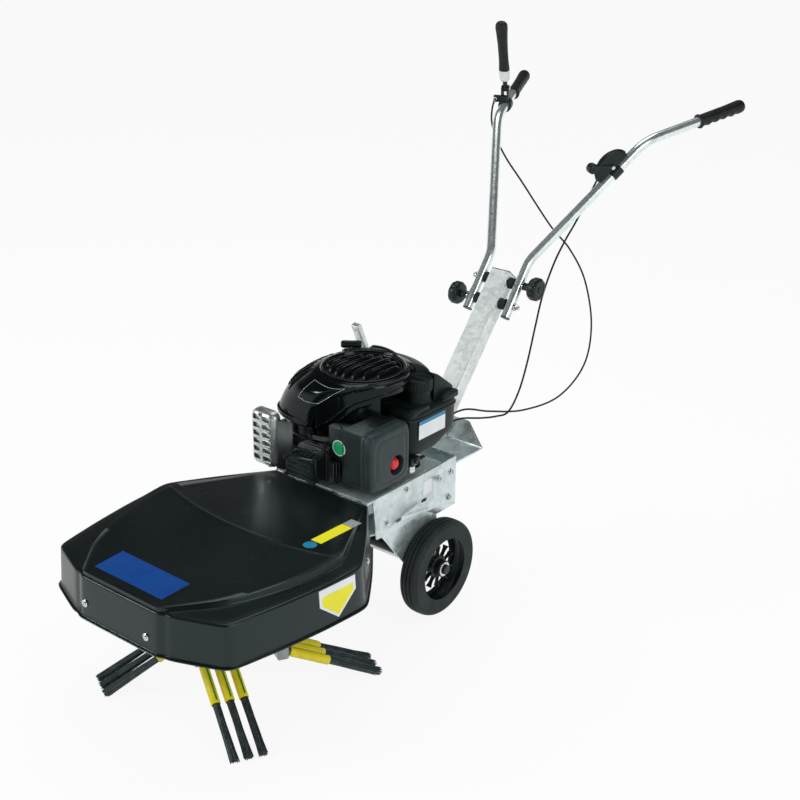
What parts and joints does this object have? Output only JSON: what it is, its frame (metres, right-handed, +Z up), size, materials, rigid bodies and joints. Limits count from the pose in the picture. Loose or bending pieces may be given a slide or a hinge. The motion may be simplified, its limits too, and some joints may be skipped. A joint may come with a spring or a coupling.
{
  "type": "weed brush machine",
  "caption": "Wheeled petrol weed brush machine: hooded rotary wire brush, vertical shaft engine on a folded plate, tilting tube handles on a leaning column.",
  "frame": {"origin": "middle of the bounding box in X and Y, at floor level in Z", "axes": "+Z up; the machine drives towards -Y, with the handles at +Y; +X is the operator's left"},
  "size_m": [0.7162, 1.9212, 1.3235],
  "materials": {
    "black_plastic": "moulded, satin to glossy",
    "grey_plastic": "moulded, matt dark grey",
    "red_rubber": "soft, satin red",
    "black_rubber": "matt",
    "tyre_rubber": "matt, ribbed",
    "zinc": "galvanised, spangled",
    "dark_steel": "machined or pressed, dull",
    "black_steel": "painted black",
    "engine_alloy": "cast, dull",
    "wire": "oiled steel wire",
    "yellow_plastic": "glossy yellow tube",
    "white_plastic": "moulded white"
  },
  "bodies": {
    "frame": {"engine_plate": "zinc", "rear_plate": "zinc", "axle_bracket": "zinc", "axle": "black_steel", "deck_hood": "black_plastic", "brush_arm": "zinc", "bearing_housing": "engine_alloy", "engine_block": "engine_alloy", "muffler": "dark_steel", "rocker_cover": "black_plastic", "blower_shroud": "black_plastic", "muffler_guard": "zinc", "air_cleaner_cover": "grey_plastic", "fuel_tank": "grey_plastic", "column": "zinc", "drive_belt": "black_rubber", "clutch_cable": "black_plastic", "throttle_cable": "black_plastic"},
    "brush": {"brush_disc": "dark_steel", "brush_pulley": "engine_alloy", "wire_tufts_1": "wire", "wire_tufts_2": "wire", "wire_tufts_3": "wire", "wire_tufts_4": "wire", "tuft_sleeve_01": "yellow_plastic", "tuft_sleeve_02": "yellow_plastic", "tuft_sleeve_03": "yellow_plastic", "tuft_sleeve_04": "yellow_plastic", "tuft_sleeve_05": "yellow_plastic", "tuft_sleeve_06": "yellow_plastic", "tuft_sleeve_07": "yellow_plastic", "tuft_sleeve_08": "yellow_plastic", "tuft_sleeve_09": "yellow_plastic", "tuft_sleeve_10": "yellow_plastic", "tuft_sleeve_11": "yellow_plastic", "tuft_sleeve_12": "yellow_plastic"},
    "crankshaft": {"drive_pulley": "dark_steel"},
    "idler_swing_arm": {"idler_arm": "zinc"},
    "idler_wheel": {"idler_pulley": "dark_steel"},
    "wheel_left": {"tyre_left": "tyre_rubber", "rim_left": "black_plastic"},
    "wheel_right": {"tyre_right": "tyre_rubber", "rim_right": "black_plastic"},
    "handle": {"handle_tube_left": "zinc", "handle_tube_right": "zinc", "grip_left": "black_rubber", "grip_right": "black_rubber", "buffer_upper_left": "black_rubber", "buffer_upper_right": "black_rubber", "buffer_lower_left": "black_rubber", "buffer_lower_right": "black_rubber", "lever_perch": "white_plastic", "throttle_housing": "black_plastic"},
    "upper_knob": {"clamp_knob_upper": "black_plastic"},
    "lower_knob": {"clamp_knob_lower": "black_plastic"},
    "clutch_handle": {"clutch_lever": "black_plastic"},
    "throttle": {"throttle_lever": "black_plastic"},
    "cap": {"fuel_cap": "black_plastic"},
    "primer": {"primer_bulb": "red_rubber"},
    "starter": {"starter_grip": "black_plastic"}
  },
  "joints": [
    {"name": "brush_spin", "type": "hinge", "parent": "frame", "child": "brush", "pos_m": [0, -0.6145, 0.139], "axis": [0, 0, 1], "continuous": true},
    {"name": "engine_spin", "type": "hinge", "parent": "frame", "child": "crankshaft", "pos_m": [0, -0.1725, 0.322], "axis": [0, 0, 1], "continuous": true},
    {"name": "idler_swing", "type": "hinge", "parent": "frame", "child": "idler_swing_arm", "pos_m": [-0.118, -0.2205, 0.3], "axis": [0, 0, 1], "range_deg": [0, 4.95]},
    {"name": "idler_spin", "type": "hinge", "parent": "idler_swing_arm", "child": "idler_wheel", "pos_m": [-0.08192, -0.3149, 0.322], "axis": [0, 0, 1], "continuous": true},
    {"name": "wheel_left_spin", "type": "hinge", "parent": "frame", "child": "wheel_left", "pos_m": [0.163, -0.0805, 0.125], "axis": [1, 0, 0], "continuous": true},
    {"name": "wheel_right_spin", "type": "hinge", "parent": "frame", "child": "wheel_right", "pos_m": [-0.163, -0.0805, 0.125], "axis": [1, 0, 0], "continuous": true},
    {"name": "handle_tilt", "type": "hinge", "parent": "frame", "child": "handle", "pos_m": [0, 0.33945, 0.67224], "axis": [1, 0, 0], "range_deg": [-12, 12], "deforming": ["clutch_cable", "throttle_cable"]},
    {"name": "upper_knob_turn", "type": "hinge", "parent": "handle", "child": "upper_knob", "pos_m": [0, 0.37754, 0.7186], "axis": [1, 0, 0], "continuous": true},
    {"name": "lower_knob_turn", "type": "hinge", "parent": "handle", "child": "lower_knob", "pos_m": [0, 0.33945, 0.67224], "axis": [1, 0, 0], "continuous": true},
    {"name": "clutch_lever_pull", "type": "hinge", "parent": "handle", "child": "clutch_handle", "pos_m": [-0.2592, 0.7364, 1.1331], "axis": [0.9318, 0.3631, 0], "range_deg": [-98, 0], "stiffness_Nm_per_rad": 1, "springref_deg": 28.65},
    {"name": "throttle_swing", "type": "hinge", "parent": "handle", "child": "throttle", "pos_m": [0.1802, 0.5872, 1.0096], "axis": [0.844, -0.5349, -0.0388], "range_deg": [-90, 0]},
    {"name": "fuel_cap_turn", "type": "hinge", "parent": "frame", "child": "cap", "pos_m": [0.1, -0.0895, 0.586], "axis": [0, 0, 1], "range_deg": [0, 120]},
    {"name": "primer_press", "type": "slide", "parent": "frame", "child": "primer", "axis": [-1, 0, 0], "range_m": [0, 0.006], "stiffness_N_per_m": 800, "springref_m": -0.001},
    {"name": "starter_pull", "type": "slide", "parent": "frame", "child": "starter", "axis": [-0.4504, 0.5405, 0.7106], "range_m": [0, 0.5], "stiffness_N_per_m": 20, "springref_m": -0.4}
  ],
  "couplings": [
    {"joint": "engine_spin", "follows": "brush_spin", "ratio": 2.2857},
    {"joint": "idler_swing", "follows": "clutch_lever_pull", "ratio": -0.05}
  ]
}
